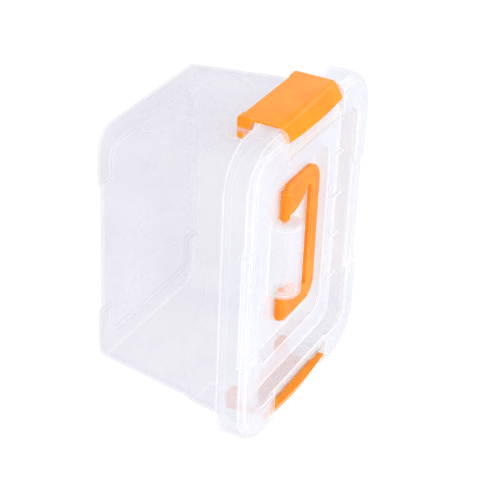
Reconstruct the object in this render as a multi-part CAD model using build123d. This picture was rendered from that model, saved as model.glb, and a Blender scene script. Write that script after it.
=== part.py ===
from build123d import *
import math
import os

# Latching storage bin, in millimetres. +Z is up, X runs along the bin's length and the
# origin lies in the middle of the underside. The two C-shaped feet stand on z = 0.

# Tub
tub_top_length = 211.5
tub_top_width = 169.0
tub_draft_end = 8.25
tub_draft_side = 12.75
tub_corner_radius = 17.0
tub_height = 125.4
tub_wall = 2.0
base_chamfer = 1.6
foot_height = 3.0
foot_width_end = 20.0
foot_width_side = 16.5
foot_inner_radius = 10.0
foot_gap_length = 104.0

# Shoulder where the tub's wall steps outwards, arched on the long sides
shoulder_step = 1.5
shoulder_height = 80.8
arch_half_length = 85.0
arch_rise = 14.5
arch_quarter_share = 0.42

# Flange that runs round the tub under the lid
flange_reach_end = 11.25
flange_reach_side = 6.0
flange_radius = 31.0
flange_drop = 11.4
flange_thickness = 2.0

# Lid
lid_wall = 2.0
skirt_gap = 1.0
skirt_overlap = 2.5
seat_gap = 0.3
seat_rib_height = 5.3
corner_rise = 2.0
rim_round = 8.0
side_step_length = 90.0
rim_inset_end = 12.75
rim_inset_side = 12.5
pocket_radius = 12.0
moat_width_end = 8.6
moat_width_side = 14.0
panel_radius = 8.0
panel_drop = 8.0
moat_drop = 12.0
moat_rib_thickness = 1.6
moat_rib_pitch = 35.0
moat_rib_count = 4

# Handle, its recess in the lid and the half-round hump that it turns in
handle_span = 115.0
handle_reach = 52.5
handle_thickness = 5.0
handle_edge_chamfer = 1.5
bar_width = 11.5
arm_width = 14.5
hub_land = 8.0
gusset_reach = 32.0
gusset_bulge = 2.2
handle_corner_radius = 15.0
handle_heel_radius = 6.0
hub_diameter = 7.6
handle_pin_diameter = 5.0
handle_axis_y = -9.0
handle_axis_height = 4.5
handle_side_gap = 12.5
handle_end_gap = 3.5
hump_length = 61.0
hump_radius = 13.0
hump_centre_height = 6.5
hump_round = 5.0
hump_near_gap = 30.0
recess_radius = 12.0

# Latches, one at each end, hinged in ears on the tub
latch_length = 86.0
latch_wall = 2.4
latch_pin_diameter = 5.0
latch_pin_inset = 8.3
latch_pin_drop = 13.7
latch_boss_radius = 4.2
latch_lower_drop = 1.8
latch_knuckle_drop = 4.2
latch_knuckle_length = 7.0
latch_knuckle_height = 7.0
facet_run = 12.0
facet_rise = 6.4
latch_crown_out = 2.1
latch_crown_up = 2.0
latch_corner_round = 6.5
latch_bay_count = 8
bead_width = 1.8
bead_clearance = 0.4
notch_inset = 1.3
notch_slope = 0.336
notch_shoulder_drop = 8.1
notch_reach = 21.3
ear_thickness = 2.5
ear_reach = 4.8
ear_drop = 6.3

# Running clearances
latch_gap = 0.4
latch_side_gap = 0.6
pin_clearance = 0.2
hub_end_gap = 0.6
pin_overrun = 1.0

# Sizes that follow
tub_base_length = tub_top_length - 2 * tub_draft_end
tub_base_width = tub_top_width - 2 * tub_draft_side
rim_length = tub_top_length + 2 * shoulder_step
rim_width = tub_top_width + 2 * shoulder_step
flange_length = tub_top_length + 2 * flange_reach_end
flange_width = tub_top_width + 2 * flange_reach_side
flange_top = tub_height - flange_drop
lid_length = flange_length + 2 * (skirt_gap + lid_wall)
lid_width = flange_width + 2 * (skirt_gap + lid_wall)
lid_radius = flange_radius + skirt_gap + lid_wall
lid_bottom = flange_top - skirt_overlap
crest_z = tub_height + seat_gap + seat_rib_height + lid_wall
panel_z = crest_z - panel_drop
moat_z = crest_z - moat_drop
recess_floor = lid_bottom + lid_wall
handle_axis_z = recess_floor + handle_axis_height
hump_centre_z = recess_floor + hump_centre_height
pocket_length = tub_top_length - 2 * rim_inset_end
pocket_width = tub_top_width - 2 * rim_inset_side
panel_length = pocket_length - 2 * moat_width_end
panel_width = pocket_width - 2 * moat_width_side
recess_length = handle_span + 2 * handle_side_gap
recess_near = handle_axis_y - hump_radius - hump_near_gap
recess_far = handle_axis_y + handle_reach + handle_end_gap
hub_end = hump_length / 2 + hub_end_gap
latch_pin_x = flange_length / 2 - latch_pin_inset
latch_pin_z = flange_top - flange_thickness - latch_pin_drop
notch_face = lid_length / 2 - notch_inset
notch_shoulder_z = crest_z - notch_shoulder_drop
plate_inner = notch_face + latch_gap
plate_outer = plate_inner + latch_wall
bay_half = latch_length / 2 + latch_side_gap
ear_outer = bay_half + ear_thickness


def rounded(length, width, radius, z):
    return Plane.XY.offset(z) * RectangleRounded(length, width, radius)


def block(length, width, radius, bottom, top):
    return extrude(rounded(length, width, radius, bottom), amount=top - bottom)


def box_between(x0, x1, y0, y1, z0, z1):
    middle = ((x0 + x1) / 2, (y0 + y1) / 2, (z0 + z1) / 2)
    return Pos(*middle) * Box(x1 - x0, y1 - y0, z1 - z0)


def both_ends(shape):
    return shape + mirror(shape, about=Plane.YZ)


def wedge(plane, base_size, top_size, inset, bottom, top):
    """Long prism whose section is the tub's tapered outline on one plane."""
    corners = []
    for z, side in ((bottom, -1), (bottom, 1), (top, 1), (top, -1)):
        size = base_size + (top_size - base_size) * z / tub_height
        corners.append((side * (size / 2 - inset), z))
    return extrude(plane * make_face(Polyline(*corners, close=True)), amount=rim_length, both=True)


def tapered(inset, bottom, top):
    """Solid with the tub's tapered sides, moved in by inset, between two heights."""
    solid = wedge(Plane.XZ, tub_base_length, tub_top_length, inset, bottom, top)
    solid &= wedge(Plane.YZ, tub_base_width, tub_top_width, inset, bottom, top)
    corners = [edge for edge in solid.edges() if edge.bounding_box().size.Z > (top - bottom) / 2]
    return fillet(corners, tub_corner_radius - inset)


def arch(inset):
    """Prism across the tub that cuts the shoulder's arch into both long sides."""
    half = arch_half_length - inset
    bottom = shoulder_height + inset
    crown = bottom + arch_rise
    middle = bottom + arch_rise * arch_quarter_share
    curve = Spline(
        (-half, bottom), (-half / 2, middle), (0, crown), (half / 2, middle), (half, bottom),
        tangents=[(1, 0), (1, 0)],
    )
    base = Line((half, bottom), (-half, bottom))
    opening = Plane.XZ * make_face([curve, base])
    return extrude(opening, amount=rim_width, both=True)


def underside(inset):
    """Space under the floor between the two C-shaped feet, grown by inset."""
    length = tub_base_length - 2 * foot_width_end + 2 * inset
    width = tub_base_width - 2 * foot_width_side + 2 * inset
    middle = block(length, width, foot_inner_radius + inset, 0, foot_height + inset)
    gap = Box(foot_gap_length + 2 * inset, 2 * tub_base_width, 2 * (foot_height + inset))
    return middle + gap


def tub_form(inset):
    """Outside form of the tub, or with an inset the space inside its walls."""
    body = tapered(inset, inset, tub_height)
    if not inset:
        body = chamfer(body.faces().sort_by(Axis.Z)[0].edges(), base_chamfer)
    shoulder = tapered(inset - shoulder_step, shoulder_height + inset, tub_height)
    shoulder -= Box(2 * rim_length, 2 * (bay_half + inset), 4 * tub_height)
    body += shoulder - arch(inset)
    return body - underside(inset)


def ear(side):
    """Plate beside the latch that carries one end of its pin."""
    top = flange_top - flange_thickness
    bottom = latch_pin_z - ear_drop
    x_out = latch_pin_x + ear_reach
    x_in = tub_base_length / 2
    plate = box_between(x_in, x_out, bay_half, ear_outer, bottom, top)
    corner = plate.edges().filter_by(Axis.Y).group_by(Axis.Z)[0].sort_by(Axis.X)[-1]
    plate = fillet(corner, ear_reach)
    hole_radius = latch_pin_diameter / 2 + pin_clearance
    plate -= Pos(latch_pin_x, 0, latch_pin_z) * Rot(90, 0, 0) * Cylinder(hole_radius, 4 * latch_length)
    return plate if side > 0 else mirror(plate, about=Plane.XZ)


def make_tub():
    flange = block(flange_length, flange_width, flange_radius, flange_top - flange_thickness, flange_top)
    bay = box_between(
        notch_face - lid_wall - skirt_gap, lid_length, -ear_outer, ear_outer, 0, 2 * tub_height
    )
    ears = ear(1) + ear(-1)
    tub = tub_form(0) + flange - both_ends(bay) + both_ends(ears)
    return tub - tub_form(tub_wall)


def hump(inset):
    """Half-round hump with upright sides that holds the handle's pins."""
    radius = hump_radius - inset
    length = hump_length - 2 * inset
    foot = lid_bottom - inset
    profile = Pos(handle_axis_y, hump_centre_z) * Circle(radius)
    profile += Pos(handle_axis_y, (hump_centre_z + foot) / 2) * Rectangle(2 * radius, hump_centre_z - foot)
    solid = extrude(Plane.YZ * profile, amount=length / 2, both=True)
    ends = solid.faces().filter_by(Axis.X).edges()
    above = [edge for edge in ends if edge.center().Z > foot + inset + 0.1]
    if inset:
        return chamfer(above, (hump_round - inset) / 2)
    return fillet(above, hump_round)


def notch(inset):
    """Space in one end of the lid that the latch closes over, grown by inset."""
    half = bay_half + inset
    face = notch_face - inset
    shoulder = notch_shoulder_z - inset
    inner_end = lid_length / 2 - notch_reach - inset
    high = shoulder + (face - inner_end) * notch_slope
    outside = lid_length
    top = 2 * crest_z
    profile = Polyline(
        (face, 0), (face, shoulder), (inner_end, high), (inner_end, top), (outside, top), (outside, 0),
        close=True,
    )
    return extrude(Plane.XZ * make_face(profile), amount=half, both=True)


def rim(inset, top):
    shape = block(
        lid_length - 2 * inset, lid_width - 2 * inset, lid_radius - inset, lid_bottom - 4 * inset, top - inset
    )
    upper = shape.faces().sort_by(Axis.Z)[-1].edges()
    if inset:
        return chamfer(upper, (rim_round - inset) * 2 / 3)
    return fillet(upper, rim_round)


def pocket(length, width, radius, floor, inset):
    return block(length + 2 * inset, width + 2 * inset, radius + inset, floor - inset, 2 * crest_z)


def lid_form(inset):
    """Outside form of the lid, or with an inset the space inside its walls."""
    form = rim(inset, crest_z)
    corners = rim(inset, crest_z + corner_rise)
    corners -= Box(side_step_length + 2 * inset, 2 * lid_width, 4 * crest_z)
    corners -= Box(2 * lid_length, 2 * (bay_half + inset), 4 * crest_z)
    form += corners
    form -= pocket(pocket_length, pocket_width, pocket_radius, moat_z, inset)
    form += block(
        panel_length - 2 * inset, panel_width - 2 * inset, panel_radius - inset, lid_bottom, panel_z - inset
    )
    recess_width = recess_far - recess_near
    recess = pocket(recess_length, recess_width, recess_radius, recess_floor, inset)
    form -= Pos(0, (recess_far + recess_near) / 2, 0) * recess
    form += hump(inset)
    return form - both_ends(notch(inset))


def seat_rib():
    """Rib under the rim that sits on the tub's top edge."""
    bottom = tub_height + seat_gap
    top = crest_z - lid_wall
    radius = tub_corner_radius + shoulder_step
    outer = block(rim_length, rim_width, radius, bottom, top)
    return outer - block(
        rim_length - 2 * tub_wall, rim_width - 2 * tub_wall, radius - tub_wall, bottom, top
    )


def moat_ribs():
    """Small ribs that bridge the channel round the panel on both long sides."""
    ribs = []
    y_in = panel_width / 2
    y_out = pocket_width / 2
    for number in range(moat_rib_count):
        x = (number - (moat_rib_count - 1) / 2) * moat_rib_pitch
        half = moat_rib_thickness / 2
        for side in (-1, 1):
            near, far = sorted((side * (y_in - lid_wall), side * (y_out + lid_wall)))
            ribs.append(box_between(x - half, x + half, near, far, moat_z - lid_wall, panel_z))
    return ribs


def make_lid():
    shell = lid_form(0) - lid_form(lid_wall)
    rib = seat_rib() & lid_form(0)
    shell = shell + rib + moat_ribs()
    pin_hole = Rot(0, 90, 0) * Cylinder(handle_pin_diameter / 2 + pin_clearance, hump_length + 2)
    return shell - Pos(0, handle_axis_y, handle_axis_z) * pin_hole


def handle_plan():
    """Outline of the flat bail, seen from above, with arms that widen towards the hubs."""
    half = handle_span / 2
    far = handle_axis_y + handle_reach
    inner = far - bar_width
    outline = Pos(0, (handle_axis_y + far) / 2) * Rectangle(handle_span, handle_reach)
    outline = fillet(outline.vertices().group_by(Axis.Y)[-1], handle_corner_radius)
    outline = fillet(outline.vertices().group_by(Axis.Y)[0], handle_heel_radius)
    side_in = half - arm_width
    land = handle_axis_y + hub_land
    reach = handle_axis_y + gusset_reach
    bulge = ((hub_end + side_in) / 2 - gusset_bulge, (land + reach) / 2 + gusset_bulge)
    right = ThreePointArc((hub_end, land), bulge, (side_in, reach))
    left = mirror(right, about=Plane.YZ)
    rest = Polyline((side_in, reach), (side_in, inner), (-side_in, inner), (-side_in, reach))
    below = Polyline(
        (-hub_end, land), (-hub_end, handle_axis_y), (hub_end, handle_axis_y), (hub_end, land)
    )
    return outline - make_face([right, rest, left, below])


def make_handle():
    plate = extrude(Pos(0, 0, handle_axis_z) * handle_plan(), amount=handle_thickness / 2, both=True)
    upper = plate.faces().sort_by(Axis.Z)[-1].edges()
    plate = chamfer([edge for edge in upper if edge.center().Y > handle_axis_y + 0.1], handle_edge_chamfer)
    hub_length = handle_span / 2 - handle_heel_radius / 2 - hub_end
    hub = Pos(hub_end + hub_length / 2, 0, 0) * Rot(0, 90, 0) * Cylinder(hub_diameter / 2, hub_length)
    outer_end = hub.faces().sort_by(Axis.X)[-1].edges()
    hub = chamfer(outer_end, hub_diameter / 4)
    pin_end = hump_length / 2 - lid_wall - pin_overrun
    pin = Pos((hub_end + pin_end) / 2, 0, 0) * Rot(0, 90, 0) * Cylinder(
        handle_pin_diameter / 2, hub_end - pin_end
    )
    hubs = both_ends(hub + pin)
    return plate + Pos(0, handle_axis_y, handle_axis_z) * hubs


def latch_section(y, crown):
    """Cross-section of the right-hand latch at y, with its share of the crown."""
    foot = latch_pin_z - latch_lower_drop
    corner_x = plate_outer + latch_crown_out * crown
    corner_z = notch_shoulder_z + latch_wall + latch_crown_up * crown
    edge_x = plate_outer - facet_run
    edge_z = corner_z + facet_rise
    slope = facet_rise / (corner_x - edge_x)
    drop = latch_wall * math.sqrt(1 + slope ** 2)
    under_x = corner_x - latch_wall
    under_z = corner_z + latch_wall * slope - drop
    tip_z = notch_shoulder_z + (notch_face - edge_x) * notch_slope + bead_clearance
    root_z = under_z + (under_x - edge_x - bead_width) * slope
    points = [
        (plate_outer, foot), (corner_x, corner_z), (edge_x, edge_z), (edge_x, tip_z),
        (edge_x + bead_width, tip_z), (edge_x + bead_width, root_z), (under_x, under_z),
        (plate_inner, foot),
    ]
    face = make_face(Polyline(*points, close=True))
    outer_corner = face.vertices().sort_by_distance((corner_x, corner_z))[0]
    face = fillet(outer_corner, latch_corner_round)
    inner_corner = face.vertices().sort_by_distance((under_x, under_z))[0]
    face = fillet(inner_corner, latch_corner_round - latch_wall)
    plane = Plane(origin=(0, y, 0), x_dir=(1, 0, 0), z_dir=(0, -1, 0))
    return plane * face


def latch_knuckle():
    """Web and boss at one end of the latch, with the stub of its pin."""
    top = latch_pin_z + latch_knuckle_height
    bottom = latch_pin_z - latch_knuckle_drop
    web = Polyline(
        (latch_pin_x, latch_pin_z + latch_boss_radius), (plate_inner, top), (plate_outer, top),
        (plate_outer, bottom), (latch_pin_x, latch_pin_z - latch_boss_radius), close=True,
    )
    face = make_face(web)
    corner = face.vertices().sort_by(Axis.X)[-2:].sort_by(Axis.Y)[0]
    face = fillet(corner, latch_wall)
    face += Pos(latch_pin_x, latch_pin_z) * Circle(latch_boss_radius)
    inner_y = latch_length / 2 - latch_knuckle_length
    plane = Plane(origin=(0, inner_y, 0), x_dir=(1, 0, 0), z_dir=(0, -1, 0))
    knuckle = extrude(plane * face, amount=-latch_knuckle_length)
    pin_length = ear_outer - inner_y
    pin = Pos(latch_pin_x, inner_y + pin_length / 2, latch_pin_z) * Rot(90, 0, 0) * Cylinder(
        latch_pin_diameter / 2, pin_length
    )
    return knuckle + pin


def make_latch():
    half = latch_length / 2
    sections = []
    for number in range(latch_bay_count + 1):
        part_way = 2 * number / latch_bay_count - 1
        sections.append(latch_section(half * part_way, 1 - part_way ** 2))
    shell = loft(sections, ruled=True)
    knuckle = latch_knuckle()
    return shell + knuckle + mirror(knuckle, about=Plane.XZ)


def write(name, shape):
    shape.label = name
    export_step(shape, f"parts/{name}.step")


os.makedirs("parts", exist_ok=True)
latch = make_latch()
write("tub", make_tub())
write("lid", make_lid())
write("handle", make_handle())
write("latch_right", latch)
write("latch_left", mirror(latch, about=Plane.YZ))
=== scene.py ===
import math

import bmesh
import bpy
from mathutils import Matrix, Vector
from mathutils.bvhtree import BVHTree


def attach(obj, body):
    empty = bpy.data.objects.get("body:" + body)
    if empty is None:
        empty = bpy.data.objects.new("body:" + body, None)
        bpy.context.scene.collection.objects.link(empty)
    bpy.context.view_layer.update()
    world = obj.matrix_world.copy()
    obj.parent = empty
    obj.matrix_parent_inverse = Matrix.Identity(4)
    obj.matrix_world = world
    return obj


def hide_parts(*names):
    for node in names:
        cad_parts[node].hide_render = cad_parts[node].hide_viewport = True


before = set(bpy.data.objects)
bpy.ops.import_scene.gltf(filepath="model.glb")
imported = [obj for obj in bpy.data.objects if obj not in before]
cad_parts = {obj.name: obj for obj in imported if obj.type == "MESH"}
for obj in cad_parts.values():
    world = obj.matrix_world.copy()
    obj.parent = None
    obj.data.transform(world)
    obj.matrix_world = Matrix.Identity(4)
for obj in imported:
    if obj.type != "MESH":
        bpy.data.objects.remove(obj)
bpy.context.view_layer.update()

# Camera: place in metres, angles in degrees. The photograph is turned on its side.
CAMERA_PLACE = Vector((-0.6247, -0.9570, 0.5632))
CAMERA_AZIMUTH = 33.254
CAMERA_ELEVATION = 22.953
CAMERA_ROLL = 106.80
CAMERA_LENS = 126.73
CAMERA_REACH = 20.0
SENSOR_WIDTH = 36.0

# Light: a soft key, two softboxes (place, point aimed at, power) and a white surround
WORLD_LEVEL = 0.66
KEY_AIM = Vector((0.34, 0.28, -1.0))
KEY_LEVEL = 1.30
KEY_ANGLE = 50.0
SOFTBOX_SIZE = (0.30, 0.90)
SOFTBOXES = {
    "latch_strip": ((-0.66, 1.0, 0.76), (-0.11, 0, 0.12), 2.4),
    "handle_strip": ((0.66, -0.5, 1.1), (0, 0.04, 0.12), 3.0),
}

# Floor
FLOOR_HALF = 6.0
FLOOR_ALBEDO = 0.97
FLOOR_ROUGHNESS = 0.9
FLOOR_WHITE_SHARE = 0.82

# Clear plastic: cover is how much one wall's face hides of what lies behind it
PLASTIC_IOR = 1.49
PLASTIC_LAYERS = 48
SHADOW_SHARE = 0.20
# Colour mixed in toward grazing view, darker and bluer: partly the longer path through the plastic,
# partly painted shade for the dark band that refraction gives there.
GRAZING_TINT_AND_SHADE = (0.69, 0.71, 0.83)
GRAZING_START = 0.35
GRAZING_END = 0.95
GRAZING_BLEND = 0.3
FLOW_SIZE = 0.060
FLOW_DETAIL = 1.0
FLOW_STRETCH = (1, 1, 0.5)
HAZE_SIZE = 0.020
HAZE_DETAIL = 2.0
HAZE_COVER = 0.010
CLEAR_ROUGHNESS = (0.20, 0.30)

# Each clear material: pale colour, deep colour, cover seen square on, cover seen grazing
CLEAR_PLASTICS = {
    "clear_tub": ((0.745, 0.745, 0.84), (0.665, 0.66, 0.785), 0.13, 0.55),
    "clear_lid": ((0.85, 0.86, 0.915), (0.77, 0.785, 0.87), 0.15, 0.62),
    # The edge materials are near white: a painted highlight along the rounded edges.
    "clear_tub_edge_highlight": ((0.99, 0.99, 1.0), (0.97, 0.97, 1.0), 0.30, 0.60),
    "clear_lid_edge_highlight": ((0.99, 0.99, 1.0), (0.97, 0.97, 1.0), 0.75, 0.90),
}

# Orange plastic
MOTTLE_SIZE = 0.020
GRAIN_SIZE = 0.0006
ORANGE_DETAIL = 3.0
GRAIN_STRENGTH = 0.10
GRAIN_HEIGHT = 0.0001
ORANGE_ROUGHNESS = (0.24, 0.36)
ORANGE_SPECULAR = 0.28
GLOW_WEIGHT = 0.55
GLOW_RADIUS = (1.0, 0.22, 0.06)
GLOW_DEPTH = 0.005

# Each orange material: colour, deep colour
ORANGE_PLASTICS = {
    "orange_latch": ((1.0, 0.345, 0.005), (0.98, 0.30, 0.003)),
    "orange_handle": ((1.0, 0.315, 0.005), (0.98, 0.255, 0.003)),
    # Lighter orange for the rounded edges: a painted highlight.
    "orange_edge_highlight": ((1.0, 0.42, 0.08), (1.0, 0.36, 0.05)),
}

# Rounding of the moulded edges
EDGE_RADIUS = 0.0004
EDGE_SEGMENTS = 3
EDGE_PROFILE = 0.5
MERGE_DISTANCE = 2e-6
FLAT_ANGLE = math.radians(0.6)
SHARP_ANGLE = math.radians(28)
CREASE_ANGLE = math.radians(42)
STRAY_DISTANCE = 0.00025

# Each node: body material, edge material that paints a highlight on the rounded edges, material slot
MOULDINGS = {
    "tub": ("clear_tub", "clear_tub_edge_highlight", "clear_tub"),
    "lid": ("clear_lid", "clear_lid_edge_highlight", "clear_lid"),
    "latch_left": ("orange_latch", "orange_edge_highlight", "orange_latch"),
    "latch_right": ("orange_latch", "orange_edge_highlight", "orange_latch"),
    "handle": ("orange_handle", "orange_edge_highlight", "orange_handle"),
}


def link(obj):
    bpy.context.scene.collection.objects.link(obj)


def node_by_type(tree, kind):
    return next(n for n in tree.nodes if n.bl_idname == kind)


def new_material(name):
    mat = bpy.data.materials.new(name)
    mat.use_nodes = True
    return mat, mat.node_tree, node_by_type(mat.node_tree, "ShaderNodeBsdfPrincipled")


def camera_rotation():
    azimuth = math.radians(CAMERA_AZIMUTH)
    elevation = math.radians(CAMERA_ELEVATION)
    roll = math.radians(CAMERA_ROLL)
    ahead = Vector((
        math.sin(azimuth) * math.cos(elevation),
        math.cos(azimuth) * math.cos(elevation),
        -math.sin(elevation),
    ))
    level_right = ahead.cross(Vector((0, 0, 1))).normalized()
    level_up = level_right.cross(ahead)
    right = level_right * math.cos(roll) + level_up * math.sin(roll)
    up = right.cross(ahead)
    return Matrix((right, up, -ahead)).transposed()


def add_camera():
    data = bpy.data.cameras.new("camera")
    data.lens = CAMERA_LENS
    data.sensor_width = SENSOR_WIDTH
    data.clip_end = CAMERA_REACH
    cam = bpy.data.objects.new("camera", data)
    link(cam)
    cam.matrix_world = Matrix.Translation(CAMERA_PLACE) @ camera_rotation().to_4x4()
    bpy.context.scene.camera = cam


def aim(lamp, direction):
    lamp.rotation_euler = direction.to_track_quat("-Z", "Y").to_euler()


def add_key():
    """Very soft key light from above the near left corner, the same all over the floor."""
    data = bpy.data.lights.new("key", "SUN")
    data.energy = KEY_LEVEL
    data.angle = math.radians(KEY_ANGLE)
    lamp = bpy.data.objects.new("key", data)
    link(lamp)
    aim(lamp, KEY_AIM)


def add_softbox(name, place, target, power):
    data = bpy.data.lights.new(name, "AREA")
    data.shape = "RECTANGLE"
    data.size, data.size_y = SOFTBOX_SIZE
    data.energy = power
    lamp = bpy.data.objects.new(name, data)
    link(lamp)
    lamp.location = place
    aim(lamp, Vector(target) - Vector(place))


def combine(tree, operation, first, second):
    node = tree.nodes.new("ShaderNodeMath")
    node.operation = operation
    tree.links.new(first, node.inputs[0])
    tree.links.new(second, node.inputs[1])
    return node.outputs[0]


def map_range(tree, source, from_min, from_max, to_min, to_max):
    node = tree.nodes.new("ShaderNodeMapRange")
    node.inputs["From Min"].default_value = from_min
    node.inputs["From Max"].default_value = from_max
    node.inputs["To Min"].default_value = to_min
    node.inputs["To Max"].default_value = to_max
    tree.links.new(source, node.inputs["Value"])
    return node.outputs["Result"]


def noise(tree, size, detail, stretch=(1, 1, 1)):
    """Noise whose blobs are about size metres across, in the object's own frame."""
    place = tree.nodes.new("ShaderNodeTexCoord")
    mapping = tree.nodes.new("ShaderNodeMapping")
    mapping.inputs["Scale"].default_value = stretch
    texture = tree.nodes.new("ShaderNodeTexNoise")
    texture.inputs["Scale"].default_value = 1 / size
    texture.inputs["Detail"].default_value = detail
    tree.links.new(place.outputs["Object"], mapping.inputs["Vector"])
    tree.links.new(mapping.outputs["Vector"], texture.inputs["Vector"])
    return texture.outputs[0]


def mix_colour(tree, factor, first, second):
    """Mixes two colours, each a socket or three numbers."""
    node = tree.nodes.new("ShaderNodeMix")
    node.data_type = "RGBA"
    tree.links.new(factor, node.inputs[0])
    for socket, value in ((node.inputs[6], first), (node.inputs[7], second)):
        if isinstance(value, tuple):
            socket.default_value = (*value, 1)
        else:
            tree.links.new(value, socket)
    return node.outputs[2]


def bump(tree, height, strength, distance):
    node = tree.nodes.new("ShaderNodeBump")
    node.inputs["Strength"].default_value = strength
    node.inputs["Distance"].default_value = distance
    tree.links.new(height, node.inputs["Height"])
    return node.outputs["Normal"]


def white_for_sight(tree, shader_socket, share):
    """Mixes white light over a stage shader, for the rays that look at the stage."""
    path = tree.nodes.new("ShaderNodeLightPath")
    seen = combine(tree, "MAXIMUM", path.outputs["Is Camera Ray"], path.outputs["Is Glossy Ray"])
    seen = combine(tree, "MAXIMUM", seen, path.outputs["Is Transmission Ray"])
    glow = tree.nodes.new("ShaderNodeEmission")
    mix = tree.nodes.new("ShaderNodeMixShader")
    tree.links.new(map_range(tree, seen, 0.0, 1.0, 0.0, share), mix.inputs[0])
    tree.links.new(shader_socket, mix.inputs[1])
    tree.links.new(glow.outputs[0], mix.inputs[2])
    return mix.outputs[0]


def add_floor():
    mesh = bpy.data.meshes.new("floor")
    corners = [(-1, -1), (1, -1), (1, 1), (-1, 1)]
    mesh.from_pydata([(x * FLOOR_HALF, y * FLOOR_HALF, 0) for x, y in corners], [], [(0, 1, 2, 3)])
    floor = bpy.data.objects.new("floor", mesh)
    link(floor)
    mat, tree, shader = new_material("stage_white")
    shader.inputs["Base Color"].default_value = (FLOOR_ALBEDO, FLOOR_ALBEDO, FLOOR_ALBEDO, 1)
    shader.inputs["Roughness"].default_value = FLOOR_ROUGHNESS
    out = node_by_type(tree, "ShaderNodeOutputMaterial")
    tree.links.new(white_for_sight(tree, shader.outputs[0], FLOOR_WHITE_SHARE), out.inputs["Surface"])
    mesh.materials.append(mat)


def add_world():
    """White where the camera looks past the object, and a plain level of light elsewhere."""
    world = bpy.data.worlds.new("studio")
    bpy.context.scene.world = world
    world.use_nodes = True
    tree = world.node_tree
    back = node_by_type(tree, "ShaderNodeBackground")
    back.inputs["Color"].default_value = (1, 1, 1, 1)
    path = tree.nodes.new("ShaderNodeLightPath")
    level = map_range(tree, path.outputs["Is Camera Ray"], 0.0, 1.0, WORLD_LEVEL, 1.0)
    tree.links.new(level, back.inputs["Strength"])


def lit_through(tree):
    """Share of the plastic's cover that counts for light: the rest of it is scattered onwards."""
    path = tree.nodes.new("ShaderNodeLightPath")
    lighting = combine(tree, "MAXIMUM", path.outputs["Is Shadow Ray"], path.outputs["Is Diffuse Ray"])
    return map_range(tree, lighting, 0.0, 1.0, 1.0, SHADOW_SHARE)


def clear_plastic(name, pale, deep, least_cover, grazing_cover):
    """Milky see-through polypropylene with faint flow marks and a thin haze, darker and bluer toward
    grazing view: partly its longer path through the plastic, partly painted shade.
    """
    mat, tree, shader = new_material(name)
    flow = noise(tree, FLOW_SIZE, FLOW_DETAIL, FLOW_STRETCH)
    haze = noise(tree, HAZE_SIZE, HAZE_DETAIL)
    weight = tree.nodes.new("ShaderNodeLayerWeight")
    weight.inputs["Blend"].default_value = GRAZING_BLEND
    facing = weight.outputs["Facing"]
    body = mix_colour(tree, map_range(tree, flow, 0.3, 0.7, 0.0, 1.0), deep, pale)
    # Darker bluer colour toward grazing view: partly the longer path through the plastic, partly
    # painted shade.
    thickness_and_shade = map_range(tree, facing, GRAZING_START, GRAZING_END, 0.0, 1.0)
    tree.links.new(mix_colour(tree, thickness_and_shade, body, GRAZING_TINT_AND_SHADE), shader.inputs["Base Color"])
    cover = map_range(tree, facing, 0.0, 1.0, least_cover, grazing_cover)
    cloud = map_range(tree, haze, 0.3, 0.7, -HAZE_COVER, HAZE_COVER)
    cover = combine(tree, "ADD", cover, cloud)
    tree.links.new(combine(tree, "MULTIPLY", cover, lit_through(tree)), shader.inputs["Alpha"])
    tree.links.new(map_range(tree, haze, 0.3, 0.7, *CLEAR_ROUGHNESS), shader.inputs["Roughness"])
    shader.inputs["IOR"].default_value = PLASTIC_IOR
    return mat


def orange_plastic(name, colour, deep):
    """Satin orange polypropylene with a fine moulded grain and a little light inside it."""
    mat, tree, shader = new_material(name)
    mottle = noise(tree, MOTTLE_SIZE, ORANGE_DETAIL)
    grain = noise(tree, GRAIN_SIZE, ORANGE_DETAIL)
    body = mix_colour(tree, map_range(tree, mottle, 0.35, 0.65, 0.0, 1.0), deep, colour)
    tree.links.new(body, shader.inputs["Base Color"])
    tree.links.new(map_range(tree, grain, 0.3, 0.7, *ORANGE_ROUGHNESS), shader.inputs["Roughness"])
    shader.inputs["IOR"].default_value = PLASTIC_IOR
    shader.inputs["Specular IOR Level"].default_value = ORANGE_SPECULAR
    shader.inputs["Subsurface Weight"].default_value = GLOW_WEIGHT
    shader.inputs["Subsurface Radius"].default_value = GLOW_RADIUS
    shader.inputs["Subsurface Scale"].default_value = GLOW_DEPTH
    tree.links.new(bump(tree, grain, GRAIN_STRENGTH, GRAIN_HEIGHT), shader.inputs["Normal"])
    return mat


def reach(mesh):
    """Least and greatest place of the mesh on each axis."""
    axes = list(zip(*(vert.co for vert in mesh.vertices)))
    return [min(axis) for axis in axes], [max(axis) for axis in axes]


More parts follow.
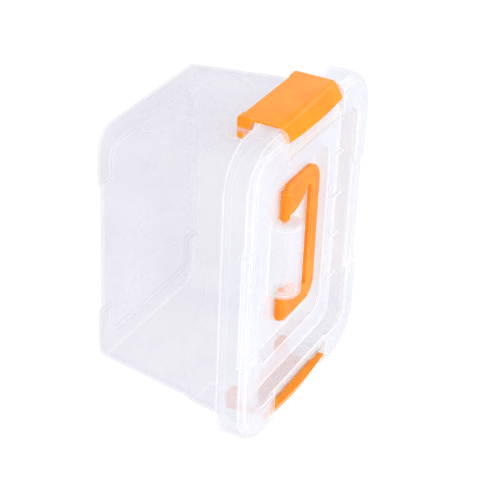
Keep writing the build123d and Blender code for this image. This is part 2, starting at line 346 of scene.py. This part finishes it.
def keep_to_surface(work, solid, least, greatest):
    """Draws back the few vertices that the rounding threw off the CAD surface."""
    for vert in work.verts:
        place, _, _, distance = solid.find_nearest(vert.co)
        if distance > STRAY_DISTANCE:
            vert.co = place
        for axis in range(3):
            vert.co[axis] = min(max(vert.co[axis], least[axis]), greatest[axis])


def round_edges(mesh):
    """Rounds the mesh's sharp edges, which get the second material, a painted highlight colour, and
    shades it smooth.
    """
    least, greatest = reach(mesh)
    work = bmesh.new()
    work.from_mesh(mesh)
    for face in work.faces:
        face.material_index = 0
    bmesh.ops.remove_doubles(work, verts=work.verts, dist=MERGE_DISTANCE)
    bmesh.ops.dissolve_limit(work, angle_limit=FLAT_ANGLE, verts=work.verts, edges=work.edges)
    solid = BVHTree.FromBMesh(work)
    sharp = [edge for edge in work.edges if edge.calc_face_angle() > SHARP_ANGLE]
    # The rounded faces take the second material, the painted edge highlight.
    bmesh.ops.bevel(
        work, geom=sharp, offset=EDGE_RADIUS, offset_type="OFFSET", segments=EDGE_SEGMENTS,
        profile=EDGE_PROFILE, affect="EDGES", clamp_overlap=False, material=1,
    )
    keep_to_surface(work, solid, least, greatest)
    for face in work.faces:
        face.smooth = True
    work.to_mesh(mesh)
    work.free()
    mesh.set_sharp_from_angle(angle=CREASE_ANGLE)


def add_moulding(node, body_material, edge_highlight_material):
    """Piece that stands for a CAD node: the same form with its sharp edges rounded and given a
    painted highlight colour.
    """
    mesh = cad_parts[node].data.copy()
    mesh.name = node + "_moulding"
    mesh.materials.clear()
    mesh.materials.append(body_material)
    mesh.materials.append(edge_highlight_material)
    round_edges(mesh)
    piece = bpy.data.objects.new(mesh.name, mesh)
    link(piece)
    weighted = piece.modifiers.new("weighted", "WEIGHTED_NORMAL")
    weighted.keep_sharp = True
    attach(piece, node)
    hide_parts(node)


add_camera()
add_world()
add_floor()
add_key()
for name, softbox in SOFTBOXES.items():
    add_softbox(name, *softbox)

materials = {name: clear_plastic(name, *finish) for name, finish in CLEAR_PLASTICS.items()}
materials |= {name: orange_plastic(name, *finish) for name, finish in ORANGE_PLASTICS.items()}
# edge names the material that paints a highlight on the rounded edges.
for node, (body, edge, slot) in MOULDINGS.items():
    add_moulding(node, materials[body], materials[edge])

bpy.context.scene.view_settings.view_transform = "Standard"
bpy.context.scene.cycles.transparent_max_bounces = PLASTIC_LAYERS
